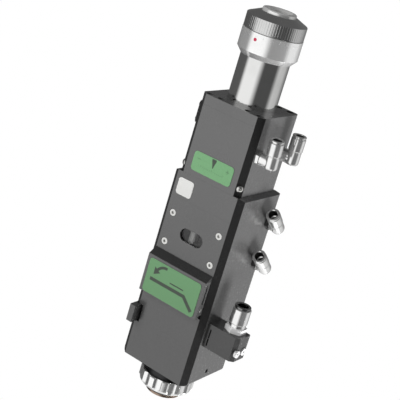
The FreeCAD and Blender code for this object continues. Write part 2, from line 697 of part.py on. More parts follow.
def focus_retainer():
    z = FOCUS_Z
    r = FOCUS_LENS_R
    profile = [(r - 0.5, z - 1.6), (r - 0.05, z - 1.6), (r - 0.05, z - 0.8), (r + 1.1, z - 0.8), (r + 1.1, z + 5.6)]
    profile += [(r - 1.3, z + 5.6), (r - 1.3, z + 1.6), (r - 0.5, z + 0.8)]
    return turned(profile).cut(box(-r - 2, r + 2, AXIS_Y - 0.8, AXIS_Y + 0.8, z + 4.2, z + 7))


def indicator():
    x0, x1 = INDICATOR_X
    return box(x0, x1, FRONT_Y + 4.7, FRONT_Y + 6.2, FOCUS_Z - 10.8, FOCUS_Z + 14.7)


# Front plate
def front_plate():
    w = FACE_HALF_W
    plate = box(-w, w, FRONT_Y, FRONT_Y + PLATE_T, PLATE_Z0, PLATE_Z1).common(lower_outline())
    lip = 2 * PANE_LIP
    x0, x1 = INDICATOR_X
    pane_y = FRONT_Y + 1.8
    tools = [stadium(WINDOW_LONG, WINDOW_HIGH, FRONT_Y - 1, FRONT_Y + 9, FOCUS_Z)]
    tools.append(stadium(WINDOW_LONG + lip, WINDOW_HIGH + lip, pane_y, FRONT_Y + 9, FOCUS_Z))
    tools.append(box(x0 - 1.7, x1 + 1.7, pane_y + PANE_T + 0.1, FRONT_Y + 9, PLATE_Z0 + 2.4, PLATE_Z1 - 6.0))
    for x in both_sides([SCREW_PAIR_X]):
        for z in SCREW_PAIR_Z:
            tools.append(cyl_y(3.4, FRONT_Y - 1, FRONT_Y + 2.2, x, z))
            tools.append(cyl_y(1.8, FRONT_Y - 1, FRONT_Y + 9, x, z))
    return cut_all(plate, tools)


def front_plate_screws():
    made = socket_screw(3.35, 2.2, 1.68, 11.0, 1.5)
    spots = [(x, z) for x in both_sides([SCREW_PAIR_X]) for z in SCREW_PAIR_Z]
    return group([place(made, (x, FRONT_Y + 2.2, z), (0, -1, 0)) for x, z in spots])


def window_pane():
    lip = 2 * PANE_LIP - 0.1
    return stadium(WINDOW_LONG + lip, WINDOW_HIGH + lip, FRONT_Y + 1.8, FRONT_Y + 1.8 + PANE_T, FOCUS_Z)


# Clamp lever, a pressed cover with side walls that turn on two short pins
def lever_cover():
    w, y, top, low = LEVER_HALF_W, LEVER_FRONT_Y, LEVER_TOP_Z, LEVER_LOW_Z
    py, pz = LEVER_PIVOT_Y, LEVER_PIVOT_Z
    back = FRONT_Y - GAP
    lean, slope = LEVER_LEAN, LEVER_SLOPE
    notch_y, notch_z = FRONT_Y - LEVER_NOTCH[0], low + LEVER_NOTCH[1]
    outside = [(back, top), (y, top - slope), (y + lean, low), (notch_y, low), (notch_y, notch_z), (back, notch_z)]
    body = prism_x(outside, -w, w)
    s = LEVER_SKIN
    roof = top - 1.9
    hollow = [(back + 5, roof), (back - 0.2, roof), (y + s, top - slope - 0.9), (y + s + lean, low - 1)]
    hollow += [(back + 5, low - 1)]
    body = body.cut(prism_x(hollow, -w + LEVER_WALL, w - LEVER_WALL))
    high_y, high_z, low_y, low_z = FRONT_Y - 3.8, top - 8.9, FRONT_Y - 4.1, pz + 6.2
    slot = [cyl_x(0.95, -w - 1, w + 1, high_y, high_z), cyl_x(0.95, -w - 1, w + 1, low_y, low_z)]
    slot.append(box(-w - 1, w + 1, low_y - 0.8, high_y + 0.8, low_z, high_z))
    return body.cut(slot + [cyl_x(LEVER_PIN_R, -w - 1, w + 1, py, pz)]).removeSplitter()


def lever_pins():
    y, z = LEVER_PIVOT_Y, LEVER_PIVOT_Z
    x0, x1 = EAR_X[0] + 0.2, LEVER_HALF_W + 0.15
    head_r, dome = 1.8, 0.8
    ball_r = (head_r ** 2 + dome ** 2) / (2 * dome)
    head = Part.makeSphere(ball_r, V(x1 + dome - ball_r, y, z)).common(cyl_x(head_r, x1, x1 + 2, y, z))
    right = fuse([cyl_x(LEVER_PIN_R - 0.03, x0, x1 + 0.1, y, z), head])
    left = right.mirror(V(0, 0, 0), V(1, 0, 0))
    return group([left, right])


def lever_label():
    y = LEVER_FRONT_Y
    half = LEVER_HALF_W - 3.1
    knee = LEVER_TOP_Z - LEVER_SLOPE
    plate = box(-half, half, y - 0.4, y, LEVER_LOW_Z + 0.9, knee - 2.6)
    corners = [e for e in plate.Edges if abs(e.BoundBox.YLength - 0.4) < 0.01]
    plate = plate.makeFillet(3.0, corners)
    plate.rotate(V(0, y, knee), V(1, 0, 0), math.degrees(math.atan2(LEVER_LEAN, knee - LEVER_LOW_Z)))
    return plate


# Window cartridge and window drawer
def cartridge_frame():
    z0, z1 = CARTRIDGE_Z
    half = CARTRIDGE_HALF_W
    back = CARTRIDGE_BACK_Y
    body = box(-half, half, FRONT_Y + 5.6, back, z0, z1)
    corners = [e for e in body.Edges if abs(e.BoundBox.ZLength - (z1 - z0)) < 0.01 and e.BoundBox.YMin > back - 1]
    body = body.makeFillet(6.0, corners)
    mid = (z0 + z1) / 2.0
    tools = [cyl(WINDOW_CLEAR_R, z0 - 1, z1 + 1), cyl(WINDOW_R + RUNNING, z0 + 2.4, z1 + 1)]
    tools.append(box(-12, 12, FRONT_Y + 4, FRONT_Y + 7.2, z0 + 2.2, z1 - 2.2))
    grip = box(-9, 9, FRONT_Y + 3.4, FRONT_Y + 7.4, mid - 1.2, mid + 1.2)
    return cut_all(body, tools).fuse(grip)


def cartridge_window():
    z = CARTRIDGE_Z[0] + 2.4
    return cyl(WINDOW_R, z, z + WINDOW_T)


def cartridge_ring():
    z = CARTRIDGE_Z[0] + 2.4 + WINDOW_T
    return tube(WINDOW_R, WINDOW_CLEAR_R + 0.2, z, z + 3.2)


def window_drawer():
    z0, z1 = DRAWER_Z
    y0, y1 = DRAWER_Y
    body = box(-LOWER_HALF_W, DRAWER_END_X, y0, y1, z0, z1)
    end = DRAWER_END_X - 0.7
    corners = [e for e in body.Edges if abs(e.BoundBox.ZLength - (z1 - z0)) < 0.01 and e.BoundBox.XMin > end]
    body = body.makeFillet(4.0, corners)
    w, c = LOWER_HALF_W, EDGE_CHAMFER
    x0, x1 = TAB_X
    out = FRONT_Y - TAB_OUT
    corner = [(-w, y0 + 1), (-w, FRONT_Y + c), (x0, FRONT_Y + c - 1.9), (x0, out), (x1, out), (x1, y0 + 1)]
    tab = prism_z(corner, z0, z1)
    rims = [e for e in tab.Edges if abs(e.BoundBox.ZLength - (z1 - z0)) < 0.01 and e.BoundBox.YMax < out + 0.01]
    body = body.fuse(tab.makeFillet(0.8, rims))
    seat = z0 + 4.0
    tools = [cyl(WINDOW_CLEAR_R, z0 - 1, z1 + 1), cyl(WINDOW_R + RUNNING, seat, z1 + 1)]
    tools.append(cyl(WINDOW_CLEAR_R + 1.2, z0 - 1, z0 + 1.6))
    return cut_all(body, tools).removeSplitter()


def protective_window():
    z = DRAWER_Z[0] + 4.0
    return cyl(WINDOW_R, z, z + WINDOW_T)


def drawer_ring():
    z = DRAWER_Z[0] + 4.0 + WINDOW_T
    ring = tube(WINDOW_R, WINDOW_CLEAR_R + 0.2, z, z + 4.0)
    return cut_all(ring, [box(-WINDOW_R - 2, WINDOW_R + 2, AXIS_Y - 0.9, AXIS_Y + 0.9, z + 2.6, z + 6)])


# Gas block
def gas_block():
    x0, x1 = LOWER_HALF_W, BLOCK_X1
    y0, y1 = BLOCK_Y
    z0, z1 = BLOCK_Z
    c = 3.4
    outline = [(x0, y0), (x1 - c, y0), (x1, y0 + c), (x1, y1 - 1.0), (x1 - 1.0, y1), (x0, y1)]
    body = prism_z(outline, z0, z1)
    tools = [cyl(GAS_THREAD_R, GAS_Z - 1.5, z1 + 1, GAS_X, GAS_Y)]
    tools.append(cyl_x(GAS_LINE_R, x0 - 1, GAS_X, GAS_LINE_Y, GAS_Z))
    tools.append(box(x0 + 3.0, x0 + 4.4, y0 - 1, y0 + 2.2, z0 + 2.1, z1 - 4.7))
    for y in BLOCK_SCREWS_Y:
        tools.append(cyl_x(2.2, x0 - 1, x1 + 1, y, BLOCK_SCREWS_Z))
        tools.append(cyl_x(3.9, x1 - 1.2, x1 + 1, y, BLOCK_SCREWS_Z))
    return cut_all(body, tools)


def gas_block_screws():
    made = socket_screw(3.6, 2.6, 1.93, BLOCK_W + 8.6, 1.2)
    return group([place(made, (BLOCK_X1 - 1.2, y, BLOCK_SCREWS_Z), (1, 0, 0)) for y in BLOCK_SCREWS_Y])


def gas_fitting():
    x, y = GAS_X, GAS_Y
    z = BLOCK_Z[1]
    r = GAS_BODY_R
    head = prism_z([(x + a, y + b) for a, b in hexagon(2 * r + 0.7, 30)], z, z + 4.6)
    head = head.common(Part.makeCone(r + 5.1, r + 0.7, 9.0, V(x, y, z - 3.4), V(0, 0, 1)))
    body = turned([(0.0, z + 4), (r - 0.7, z + 4), (r - 0.7, z + 8), (r, z + 8.8), (r, z + 22.2), (r - 0.6, z + 22.8),
                   (0.0, z + 22.8)], x, y)
    made = head.fuse([body, cyl(GAS_THREAD_R, GAS_Z + GAS_LINE_R + 0.4, z + 1, x, y)])
    tools = [cyl(GAS_LINE_R, GAS_Z - 2, z + 30, x, y), cyl(GAS_TUBE_R, z + 6.0, z + 30, x, y)]
    tools.append(cyl(GAS_SLEEVE_R + 0.1, z + 15.6, z + 30, x, y))
    return made.cut(tools)


def release_collar(bore_r, sleeve_r, flange_r, z_low, z_flange, z_top):
    profile = [(bore_r, z_low), (sleeve_r, z_low), (sleeve_r, z_flange), (flange_r, z_flange)]
    profile += [(flange_r, z_top - 0.4), (flange_r - 0.4, z_top), (bore_r + 0.5, z_top), (bore_r, z_top - 0.5)]
    return profile


def gas_release():
    z = BLOCK_Z[1]
    profile = release_collar(GAS_TUBE_R, GAS_SLEEVE_R, GAS_BODY_R - 0.9, z + 17.0, z + 23.9, z + 25.0)
    return turned(profile, GAS_X, GAS_Y)


# Elbows in their own frame: leg axis through the origin along X, socket along Z
def elbow_body(reach_in):
    r, mouth, low, top = ELBOW_R, ELBOW_MOUTH_R, ELBOW_LOW, ELBOW_TOP
    profile = [(0.0, low), (r - 2.2, low), (r - 1.1, low + 0.3), (r - 0.3, low + 1.1), (r, low + 2.2), (r, 6.4)]
    profile += [(r - 0.4, 6.6), (r - 0.4, 7.2), (mouth - 0.3, 7.4), (mouth, 7.8), (mouth, top - 0.5)]
    profile += [(mouth - 0.5, top), (0.0, top)]
    barrel = turned(profile, 0, 0)
    hub = cyl_x(HUB_R, -reach_in, 0, 0, 0)
    made = fuse([barrel, hub])
    tools = [cyl(WATER_TUBE_R, 5.0, 30, 0, 0), cyl(WATER_R + 0.2, 0, 6, 0, 0)]
    tools.append(cyl(SLEEVE_R + 0.08, ELBOW_TOP - 6.1, 30, 0, 0))
    tools.append(cyl_x(JOURNAL_R + RUNNING, -reach_in - 1, 2.6, 0, 0))
    return made.cut(tools)


def elbow_stem(reach_in, face_gap):
    start = -reach_in - GAP
    hexa = prism_x(hexagon(2 * HUB_R + 1.0, 30), start - face_gap, start)
    body = hexa.fuse([cyl_x(PORT_SEAT_R, start - face_gap - 5.6, start - face_gap + 0.1, 0, 0),
                      cyl_x(JOURNAL_R, start - 0.1, 2.2, 0, 0)])
    tools = [cyl_x(WATER_R, start - face_gap - 7, 1.0, 0, 0), cyl(WATER_R, -0.6, 5, 0, 0)]
    return body.cut(tools)


def set_elbow(shape, face, y, z, reach, turn):
    made = shape.copy()
    made.rotate(V(0, 0, 0), V(1, 0, 0), turn)
    made.translate(V(face + reach, y, z))
    return made


def elbow_release():
    low, top = ELBOW_TOP - 5.0, ELBOW_TOP + 2.2
    profile = release_collar(WATER_TUBE_R, SLEEVE_R, ELBOW_MOUTH_R - 0.15, low, ELBOW_TOP + PRESS_TRAVEL + 0.2, top)
    return turned(profile, 0, 0)


def save_elbows():
    stems = []
    for name, face, y, z, reach, turn in ELBOWS:
        reach_in = reach - HEX_T - GAP
        spot = (face, y, z, reach, turn)
        save(set_elbow(elbow_body(reach_in), *spot), "elbow_" + name)
        save(set_elbow(elbow_release(), *spot), "release_collar_" + name)
        stems.append(set_elbow(elbow_stem(reach_in, HEX_T), *spot))
    save(group(stems), "elbow_stems")


# Nozzle end
def nozzle_neck():
    low = NECK_LOW_Z
    shoulder = BOTTOM_Z - NECK_H
    spigot_top = BOTTOM_Z + SPIGOT_H
    waist = BEAM_R - 2.0
    profile = [(BEAM_R + 0.5, low), (THREAD_R, low), (THREAD_R, shoulder - 0.8), (NECK_R, shoulder)]
    profile += [(NECK_R, BOTTOM_Z), (SPIGOT_R, BOTTOM_Z), (SPIGOT_R, spigot_top), (BEAM_R, spigot_top)]
    profile += [(waist, BOTTOM_Z - 9.6), (waist, low + 5.5), (BEAM_R + 0.5, low + 3.2)]
    flat = box(NECK_R - 1.2, NECK_R + 2, AXIS_Y - 6, AXIS_Y + 6, BOTTOM_Z - 10.6, BOTTOM_Z - 2.0)
    return turned(profile).cut(flat)


def lock_ring():
    z0, z1 = LOCK_RING_Z
    r = LOCK_RING_R
    hole = CERAMIC_R + 0.7
    neck = NECK_R + 0.4
    thread = THREAD_R + RUNNING
    shoulder = BOTTOM_Z - NECK_H
    profile = [(hole, z0), (r - 2.4, z0), (r - 1.5, z0 + 0.8), (r, z0 + 3.0), (r, z1 - 0.9), (r - 0.7, z1)]
    profile += [(neck, z1), (neck, shoulder - 0.6)]
    profile += [(thread, shoulder - 1.4), (thread, FLANGE_LOW_Z), (hole, FLANGE_LOW_Z)]
    flutes = []
    for i in range(LOCK_RING_FLUTES):
        turn = 2 * math.pi * (i + 0.5) / LOCK_RING_FLUTES
        reach = r + FLUTE_R - FLUTE_DEEP
        flutes.append(cyl(FLUTE_R, z0 - 1, z1 + 1, reach * math.cos(turn), AXIS_Y + reach * math.sin(turn)))
    return turned(profile).cut(flutes)


def ceramic_ring():
    shank = NOZZLE_SHANK_R
    out = BEAM_R + 0.1
    low, top = CERAMIC_LOW_Z, NECK_LOW_Z
    profile = [(shank, low), (CERAMIC_R, low), (CERAMIC_R, FLANGE_LOW_Z), (CERAMIC_FLANGE_R, FLANGE_LOW_Z)]
    profile += [(CERAMIC_FLANGE_R, top), (out, top), (out, top + 2.4), (out - 2.5, top + 3.6), (shank, top + 3.6)]
    return turned(profile)


def nozzle():
    r = NOZZLE_R
    seat = CERAMIC_LOW_Z
    tip = seat - NOZZLE_H
    shank = NOZZLE_SHANK_R
    profile = [(ORIFICE_R, tip), (3.6, tip), (r - 2.4, tip + 3.9), (r, tip + 4.5), (r, seat - 0.6), (r - 0.6, seat)]
    profile += [(shank, seat), (shank, NECK_LOW_Z + 3.0), (shank - 2.6, NECK_LOW_Z + 3.0), (ORIFICE_R, tip + 5.0)]
    return turned(profile)


def main():
    plain = (
        (receptacle_tube, "receptacle_tube"), (rim_sleeve, "receptacle_rim"), (index_ring, "index_ring"),
        (red_dot, "red_index_dot"), (lock_collar, "lock_collar"), (bayonet_ring, "bayonet_ring"),
        (top_plate, "top_plate"), (top_screws, "top_plate_screws"), (upper_housing, "upper_housing"),
        (adjuster_cover, "adjuster_cover"), (cover_screws, "adjuster_cover_screws"),
        (collimator_clamp_screw, "collimator_clamp_screw"), (joint_screws, "joint_screws"),
        (upper_label, "upper_label"), (badge_plate, "blank_badge"),
        (collimator_barrel, "collimator_barrel"), (collimating_lens, "collimating_lens"),
        (collimator_retainer, "collimator_retainer"), (focus_housing, "focus_housing"),
        (window_housing, "window_housing"),
        (channel_plug, "gas_channel_plug"), (drive_motor, "focus_motor"), (lead_screw, "lead_screw"),
        (guide_rod, "guide_rod"), (focus_carriage, "focus_carriage"), (carriage_nut, "carriage_nut"),
        (focus_lens, "focus_lens"), (focus_retainer, "focus_retainer"), (indicator, "focus_indicator"),
        (front_plate, "front_plate"), (front_plate_screws, "front_plate_screws"),
        (window_pane, "sight_window"), (lever_cover, "clamp_lever"), (lever_pins, "lever_pins"),
        (lever_label, "lever_label"), (cartridge_frame, "window_cartridge"),
        (cartridge_window, "cartridge_window"), (cartridge_ring, "cartridge_ring"),
        (window_drawer, "window_drawer"), (protective_window, "protective_window"),
        (drawer_ring, "drawer_ring"), (gas_block, "gas_block"), (gas_block_screws, "gas_block_screws"),
        (gas_fitting, "gas_fitting"), (gas_release, "release_collar_gas"), (nozzle_neck, "nozzle_neck"),
        (lock_ring, "nozzle_lock_ring"), (ceramic_ring, "ceramic_ring"), (nozzle, "nozzle"),
    )
    for maker, name in plain:
        save(maker(), name)
    save_elbows()


main()
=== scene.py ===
import math

import bmesh
import bpy
from mathutils import Matrix, Vector


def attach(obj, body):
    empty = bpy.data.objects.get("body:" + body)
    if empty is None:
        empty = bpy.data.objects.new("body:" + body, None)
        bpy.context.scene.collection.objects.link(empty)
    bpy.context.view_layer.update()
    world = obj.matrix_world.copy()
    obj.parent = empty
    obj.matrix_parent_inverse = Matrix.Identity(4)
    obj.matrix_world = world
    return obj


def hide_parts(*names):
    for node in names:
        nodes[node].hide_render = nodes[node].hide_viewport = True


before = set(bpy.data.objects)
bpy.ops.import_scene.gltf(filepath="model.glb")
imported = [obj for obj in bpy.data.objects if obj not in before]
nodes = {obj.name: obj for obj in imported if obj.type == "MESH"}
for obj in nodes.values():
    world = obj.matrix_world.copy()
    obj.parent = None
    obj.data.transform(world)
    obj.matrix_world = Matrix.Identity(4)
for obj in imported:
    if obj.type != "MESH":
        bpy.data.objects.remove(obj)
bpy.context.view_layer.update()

mm = 0.001
axisY = -35.0 * mm      # the laser beam runs down along Z here
print("frame loaded:", len(nodes), "nodes")


class Wire:
    # one output socket, so that maths on it reads as an expression
    def __init__(self, graph, socket):
        self.graph = graph
        self.socket = socket

    def maths(self, operation, *values, clamp=False):
        settings = {"operation": operation, "use_clamp": clamp}
        return self.graph.node("ShaderNodeMath", settings, dict(enumerate(values)))

    def __add__(self, other):
        return self.maths("ADD", self, other)

    def __sub__(self, other):
        return self.maths("SUBTRACT", self, other)

    def __mul__(self, other):
        return self.maths("MULTIPLY", self, other)

    def __truediv__(self, other):
        return self.maths("DIVIDE", self, other)

    def __mod__(self, other):
        return self.maths("MODULO", self, other)

    def __gt__(self, other):
        return self.maths("GREATER_THAN", self, other)

    def __lt__(self, other):
        return self.maths("LESS_THAN", self, other)

    def __rsub__(self, other):
        return self.maths("SUBTRACT", other, self)

    def __rtruediv__(self, other):
        return self.maths("DIVIDE", other, self)

    __radd__ = __add__
    __rmul__ = __mul__

    def clamped(self):
        return self.maths("ADD", self, 0.0, clamp=True)

    def size(self):
        return self.maths("ABSOLUTE", self)

    def apply(self, operation):
        return self.maths(operation, self)

    def positive(self):
        return self.maths("MAXIMUM", self, 0.0)

    def between(self, low, high):
        # 0 below low, 1 above high, smooth in the middle
        sockets = {"Value": self, "From Min": low, "From Max": high}
        return self.graph.node("ShaderNodeMapRange", {"interpolation_type": "SMOOTHSTEP"}, sockets)


class Graph:
    def __init__(self, tree):
        self.tree = tree
        tree.nodes.clear()

    def node(self, kind, settings=None, sockets=None, out=0):
        made = self.tree.nodes.new(kind)
        for name, value in (settings or {}).items():
            if name == "stops":
                self.fillRamp(made.color_ramp, value)
            else:
                setattr(made, name, value)
        for name, value in (sockets or {}).items():
            if isinstance(value, Wire):
                self.tree.links.new(value.socket, made.inputs[name])
            else:
                made.inputs[name].default_value = value
        return Wire(self, made.outputs[out]) if len(made.outputs) else None

    def fillRamp(self, ramp, stops):
        while len(ramp.elements) < len(stops):
            ramp.elements.new(0.5)
        for element, (position, level) in zip(ramp.elements, stops):
            element.position = position
            element.color = grey(level)

    def mix(self, first, second, factor):
        # sockets 6 and 7 of a colour mix are its two colours
        return self.node("ShaderNodeMix", {"data_type": "RGBA"}, {0: factor, 6: first, 7: second}, out=2)

    def xyz(self, x=0.0, y=0.0, z=0.0):
        return self.node("ShaderNodeCombineXYZ", None, {0: x, 1: y, 2: z})

    def noise(self, place, scale, detail=3.0):
        sockets = {"Vector": place, "Scale": scale, "Detail": detail}
        return self.node("ShaderNodeTexNoise", None, sockets)

    def ramp(self, value, stops):
        return self.node("ShaderNodeValToRGB", {"stops": stops}, {"Fac": value})

    def split(self, vector):
        parts = self.node("ShaderNodeSeparateXYZ", None, {0: vector})
        return [Wire(self, parts.socket.node.outputs[i]) for i in range(3)]

    def seenBy(self, *rays):
        # 1 for the kinds of ray that are named, 0 for the rest
        path = self.node("ShaderNodeLightPath").socket.node
        total = sum(Wire(self, path.outputs["Is %s Ray" % ray]) for ray in rays)
        return total.clamped()


def rgba(red, green, blue):
    return (red, green, blue, 1.0)


def dimmed(colour, share):
    return rgba(*[share * level for level in colour])


def grey(level):
    return (level, level, level, 1.0)


cameraSpot = {
    "position": (0.43848, -0.84170, 0.37896),
    "azimuth": 29.66,       # degrees round from the front towards +X
    "elevation": 18.72,
    "roll": 16.87,          # the head leans to the right in the picture
    "lens": 98.75,
    "sensor": 36.0,
    "clip": (0.05, 20.0),
}


def makeCamera(spot):
    data = bpy.data.cameras.new("viewCamera")
    data.lens = spot["lens"]
    data.sensor_width = spot["sensor"]
    data.clip_start, data.clip_end = spot["clip"]
    camera = bpy.data.objects.new("viewCamera", data)
    turn, rise, roll = (math.radians(spot[k]) for k in ("azimuth", "elevation", "roll"))
    back = Vector((math.sin(turn) * math.cos(rise), -math.cos(turn) * math.cos(rise), math.sin(rise)))
    level = Vector((math.cos(turn), math.sin(turn), 0.0))
    upright = back.cross(level)
    across = level * math.cos(roll) + upright * math.sin(roll)
    up = upright * math.cos(roll) - level * math.sin(roll)
    facing = Matrix((across, up, back)).transposed().to_4x4()
    camera.matrix_world = Matrix.Translation(spot["position"]) @ facing
    bpy.context.scene.collection.objects.link(camera)
    bpy.context.scene.camera = camera


makeCamera(cameraSpot)
print("camera placed")


studio = {
    "floorHeight": -0.62,
    "floorRadius": 0.7,          # small enough for the metal to mirror the walls beyond it
    "floorSides": 96,
    "floorFade": (0.20, 0.52),   # the shaded middle of the floor runs out to plain white here
    "floorTone": 0.80,
    "fillLevel": 0.38,           # even light that matt surfaces get from the room
    # brightness of the walls by direction, from behind through the left, the front and the right
    "walls": [(0.0, 0.18), (0.06, 0.14), (0.15, 0.10), (0.34, 0.11), (0.385, 1.0), (0.535, 1.0),
              (0.60, 0.08), (0.76, 0.08), (0.815, 0.62), (0.90, 0.56), (0.96, 0.30), (1.0, 0.18)],
    "ceiling": 0.12,
    "ceilingRise": (0.25, 0.70),    # the walls run into the ceiling between these heights of a unit sphere
    "lampsAim": (0.0, axisY, 0.05),
    "lamps": [
        # name, place, size, watts
        ("keyLamp", (-0.75, -1.25, 0.75), 0.9, 17.0),
        ("sideLamp", (0.70, 0.12, -0.50), 0.4, 20.0),
    ],
}


def makeWorld(values):
    world = bpy.data.worlds.new("studioWorld")
    bpy.context.scene.world = world
    world.use_nodes = True
    graph = Graph(world.node_tree)
    direction = graph.node("ShaderNodeTexCoord")
    x, y, z = graph.split(direction)
    turn = x.maths("ARCTAN2", x, 0.0 - y)
    walls = graph.ramp(turn / (2 * math.pi) + 0.5, values["walls"])
    zones = graph.mix(walls, grey(values["ceiling"]), z.between(*values["ceilingRise"]))
    seen = graph.seenBy("Camera", "Glossy", "Transmission")
    colour = graph.mix(grey(values["fillLevel"]), zones, seen)
    colour = graph.mix(colour, grey(1.0), graph.seenBy("Camera", "Transmission"))
    light = graph.node("ShaderNodeBackground", None, {"Color": colour})
    graph.node("ShaderNodeOutputWorld", None, {"Surface": light})


def makeLamps(values):
    for name, place, size, watts in values["lamps"]:
        data = bpy.data.lights.new(name, "AREA")
        data.size = size
        data.energy = watts
        lamp = bpy.data.objects.new(name, data)
        lamp.location = place
        aim = Vector(values["lampsAim"]) - Vector(place)
        lamp.rotation_euler = aim.to_track_quat("-Z", "Y").to_euler()
        lamp.visible_glossy = False     # the walls alone show in the metal
        lamp.visible_camera = False
        bpy.context.scene.collection.objects.link(lamp)


def makeFloor(values):
    mesh = bpy.data.meshes.new("studioFloor")
    shape = bmesh.new()
    sides, radius = values["floorSides"], values["floorRadius"]
    bmesh.ops.create_circle(shape, cap_ends=True, segments=sides, radius=radius)
    bmesh.ops.translate(shape, verts=shape.verts, vec=(0.0, axisY, values["floorHeight"]))
    shape.to_mesh(mesh)
    shape.free()
    floor = bpy.data.objects.new("studioFloor", mesh)
    bpy.context.scene.collection.objects.link(floor)
    material = bpy.data.materials.new("floorWhite")
    material.use_nodes = True
    graph = Graph(material.node_tree)
    x, y = graph.split(graph.node("ShaderNodeTexCoord", out=3))[:2]
    away = (x * x + y * y).apply("SQRT")
    plain = graph.seenBy("Camera", "Transmission") * away.between(*values["floorFade"])
    glow = graph.node("ShaderNodeEmission", None, {"Color": grey(1.0), "Strength": 1.0})
    matt = graph.node("ShaderNodeBsdfDiffuse", None, {"Color": grey(values["floorTone"])})
    both = graph.node("ShaderNodeMixShader", None, {0: plain, 1: matt, 2: glow})
    graph.node("ShaderNodeOutputMaterial", None, {"Surface": both})
    mesh.materials.append(material)


makeWorld(studio)
makeLamps(studio)
makeFloor(studio)
bpy.context.scene.view_settings.view_transform = "Standard"
print("studio lit")


class Finish(Graph):
    def __init__(self, name):
        self.material = bpy.data.materials.new(name)
        self.material.use_nodes = True
        super().__init__(self.material.node_tree)
        self.place = self.node("ShaderNodeTexCoord", out=3)     # object coordinates
        self.x, self.y, self.z = self.split(self.place)

    def rounded(self, radius, height=None, relief=(0.0, 0.0)):
        # softened edges, with an optional relief on top
        edge = self.node("ShaderNodeBevel", {"samples": 4}, {"Radius": radius})
        if height is None:
            return edge
        strength, distance = relief
        sockets = {"Height": height, "Normal": edge, "Strength": strength, "Distance": distance}
        return self.node("ShaderNodeBump", None, sockets)

    def finish(self, sockets):
        made = self.node("ShaderNodeBsdfPrincipled", None, sockets)
        self.node("ShaderNodeOutputMaterial", None, {"Surface": made})
        return self.material


anodised = {
    "upper": 0.165,          # reflectance of the grey film, painted lighter at the top of the head and darker at the bottom: painted light and shade
    "lower": 0.126,
    "fade": (-0.09, 0.16),   # heights between which it changes
    "metallic": 0.6,
    "rough": 0.27,
    "roughCloud": 0.08,
    "roughGrain": 0.06,
    "cloudScale": 28.0,
    "cloudTone": 0.85,
    "cloudSpan": (0.52, 0.8),
    "cloudShare": 0.12,
    "grainScale": 2600.0,
    "grainTone": 1.3,
    "grainFrom": 0.62,
    "grainShare": 0.07,
    "relief": (0.03, 0.0001),
    "edgeRadius": 0.00022,
    # the bevelled front edges are painted much darker, a painted dark reflection: the distances from the
    # middle plane and from the back add up to more there than on the flat faces
    "bevelShadeTone": 0.30,
    # that least sum, and the heights between which the bevel runs, of the lower and the upper housing
    "bevels": [(0.09887, -0.2, 0.0936), (0.09377, 0.0934, 0.1648)],
    "bevelReach": 0.0375,    # what lies further out is the block and the fittings
    "bevelFront": -0.0671,   # what lies further forward is the lever and the tab
}


def anodisedGrey(name, values, paintedTone=1.0, paintedShadeAbove=None):
    f = Finish(name)
    low, high = values["lower"] * paintedTone, values["upper"] * paintedTone
    # painted shade: the film darker low on the head, lighter high up
    base = f.mix(grey(low), grey(high), f.z.between(*values["fade"]))
    cloud = f.noise(f.place, values["cloudScale"], 4.0)
    clouded = cloud.between(*values["cloudSpan"]) * values["cloudShare"]
    base = f.mix(base, grey(low * values["cloudTone"]), clouded)
    grain = f.noise(f.place, values["grainScale"], 2.0)
    grained = (grain > values["grainFrom"]) * values["grainShare"]
    base = f.mix(base, grey(high * values["grainTone"]), grained)
    if paintedShadeAbove:
        height, level = paintedShadeAbove    # above this height the piece's top is painted darker: painted shade
        base = f.mix(base, grey(level), f.z > height)
    across = f.x.size() - f.y
    bevels = sum((across > least) * (f.z > foot) * (f.z < top) for least, foot, top in values["bevels"])
    bevel = bevels * (f.x.size() < values["bevelReach"]) * (f.y > values["bevelFront"])
    # painted dark reflection on the front bevels of the housing
    base = f.mix(base, grey(values["lower"] * values["bevelShadeTone"]), bevel.clamped())
    rough = values["rough"] + (cloud - 0.5) * values["roughCloud"] + (grain - 0.5) * values["roughGrain"]
    normal = f.rounded(values["edgeRadius"], grain, values["relief"])
    metallic = values["metallic"]
    return f.finish({"Base Color": base, "Roughness": rough, "Normal": normal, "Metallic": metallic})


turning = {
    "ringDetail": 4.0,          # rings of the lathe tool
    "smearScale": 60.0,         # faint marks of handling
    "smearTone": 0.85,
    "smearSpan": (0.5, 0.8),
    "smearShare": 0.35,
    "relief": (0.04, 0.00005),
}


def turnedMetal(name, colour, rough, spread, rings, edge=0.0002, metallic=1.0, paintedLightBelow=None):
    # the rings run round the upright axis and show as streaks in the roughness
    f = Finish(name)
    fine = f.noise(f.xyz(z=f.z), rings, turning["ringDetail"])
    smear = f.noise(f.place, turning["smearScale"])
    smeared = smear.between(*turning["smearSpan"]) * turning["smearShare"]
    base = f.mix(rgba(*colour), dimmed(colour, turning["smearTone"]), smeared)
    level = rough + (fine - 0.5) * spread + (smear - 0.5) * spread
    metal = metallic
    if paintedLightBelow:
        height, paintedTone, lowMetallic = paintedLightBelow     # below this height the piece gets a painted tone, light for a painted highlight, dark for painted shade
        under = f.z < height
        base = f.mix(base, grey(paintedTone), under)
        metal = metallic + under * (lowMetallic - metallic)
    normal = f.rounded(edge, fine, turning["relief"])
    return f.finish({"Base Color": base, "Roughness": level, "Normal": normal, "Metallic": metal})


moulding = {
    "speckTone": 1.5,           # the specks are lighter by this share and this much more
    "speckLift": 0.01,
    "speckSpan": (0.45, 0.75),
    "speckShare": 0.5,
    "roughSpread": 0.2,
    "relief": (0.15, 0.0001),
    "edgeRadius": 0.00015,
}


def mouldedPlastic(name, colour, rough, grain=1800.0):
    f = Finish(name)
    speck = f.noise(f.place, grain)
    light = [min(1.0, level * moulding["speckTone"] + moulding["speckLift"]) for level in colour]
    specked = speck.between(*moulding["speckSpan"]) * moulding["speckShare"]
    base = f.mix(rgba(*colour), rgba(*light), specked)
    level = rough + (speck - 0.5) * moulding["roughSpread"]
    normal = f.rounded(moulding["edgeRadius"], speck, moulding["relief"])
    return f.finish({"Base Color": base, "Roughness": level, "Normal": normal})


